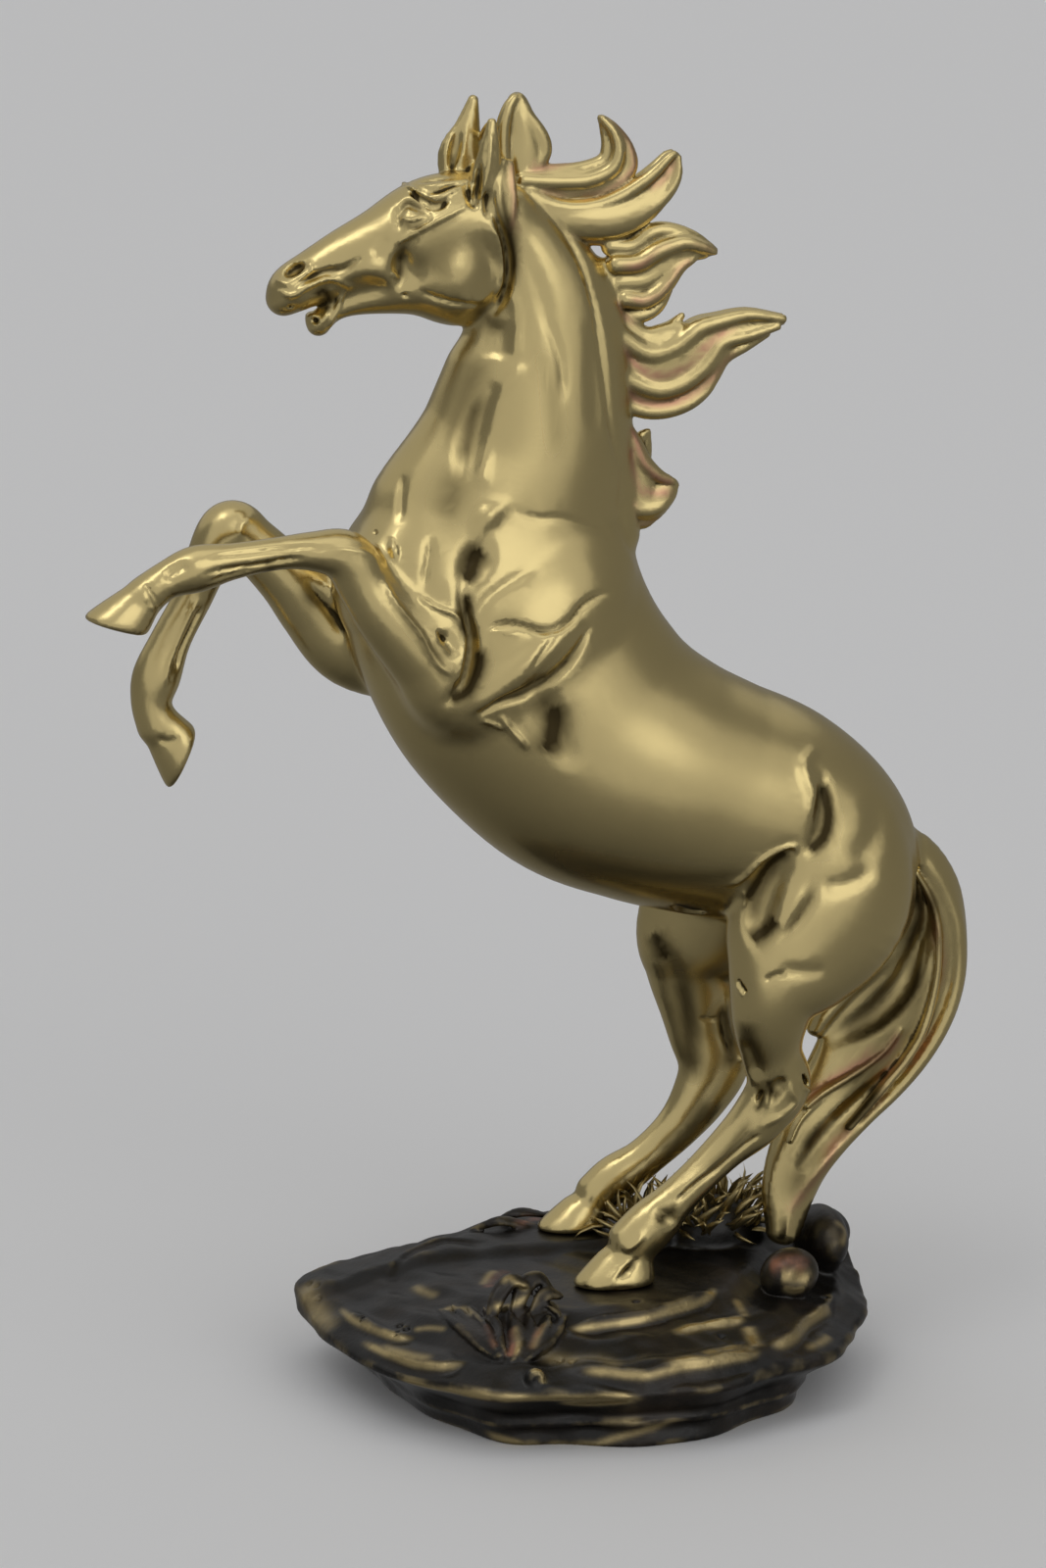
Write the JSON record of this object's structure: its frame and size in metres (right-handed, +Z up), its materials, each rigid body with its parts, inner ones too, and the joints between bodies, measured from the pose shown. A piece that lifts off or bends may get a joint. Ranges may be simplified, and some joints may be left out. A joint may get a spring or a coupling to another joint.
{
  "type": "rearing horse figurine",
  "caption": "Rearing horse in a gold and bronze finish, with flying mane and tail, standing on a dark rocky plinth.",
  "frame": {"origin": "on the plinth's underside, in the horse's middle plane, halfway along the plinth", "axes": "+Z up; the horse looks along -X and its left side faces -Y"},
  "size_m": [0.2118, 0.101, 0.3002],
  "materials": {
    "gold": "satin gold leaf colour over resin, rubbed with brown in the hollows and copper red on the hair",
    "patina": "brown-black bronze patina, satin, dry-brushed with gold on the edges"
  },
  "bodies": {
    "root": {"horse": "gold", "rock_base": "patina"}
  },
  "joints": []
}
